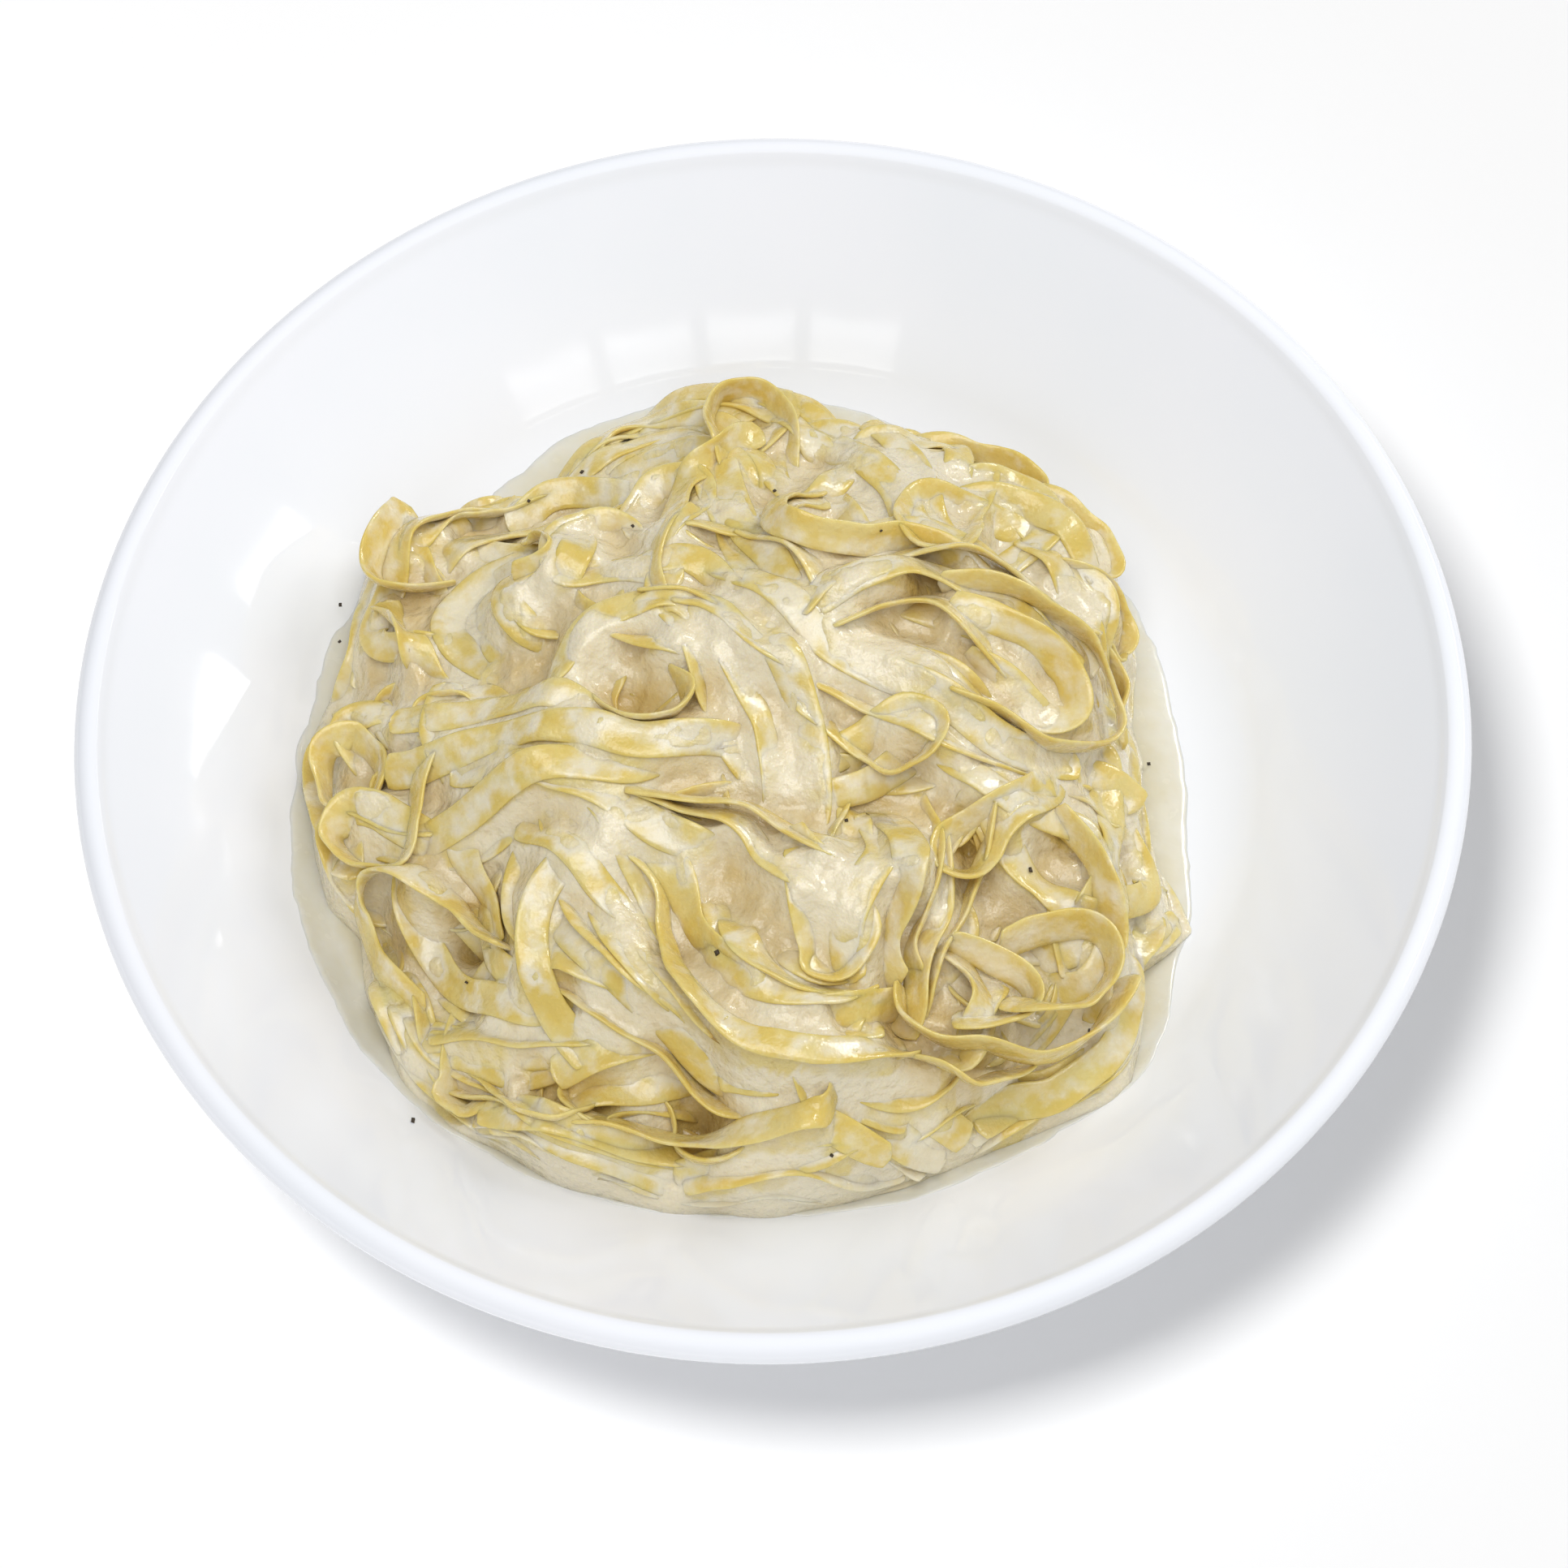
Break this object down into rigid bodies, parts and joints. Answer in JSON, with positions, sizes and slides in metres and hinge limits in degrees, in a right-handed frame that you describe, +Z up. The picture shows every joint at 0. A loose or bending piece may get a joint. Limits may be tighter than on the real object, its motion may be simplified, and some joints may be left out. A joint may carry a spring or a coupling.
{
  "type": "fettuccine alfredo on a plate",
  "caption": "Plate of fettuccine alfredo: a loose heap of flat egg noodles coated in cream sauce, in a shallow pool of sauce, on a deep round white plate.",
  "frame": {"origin": "centre of the plate's foot ring, on the surface that the plate stands on", "axes": "+Z up, out of the plate; -Y towards the diner; +X to the diner's right"},
  "size_m": [0.28, 0.28, 0.0609],
  "materials": {
    "white_glaze": "white gloss glaze",
    "cream_sauce": "smooth, glossy, warm ivory cream sauce",
    "egg_pasta": "moist pale yellow egg pasta, half coated with cream sauce"
  },
  "bodies": {
    "root": {"plate": "white_glaze", "alfredo_sauce": "cream_sauce", "fettuccine_heap": "egg_pasta"}
  },
  "joints": []
}
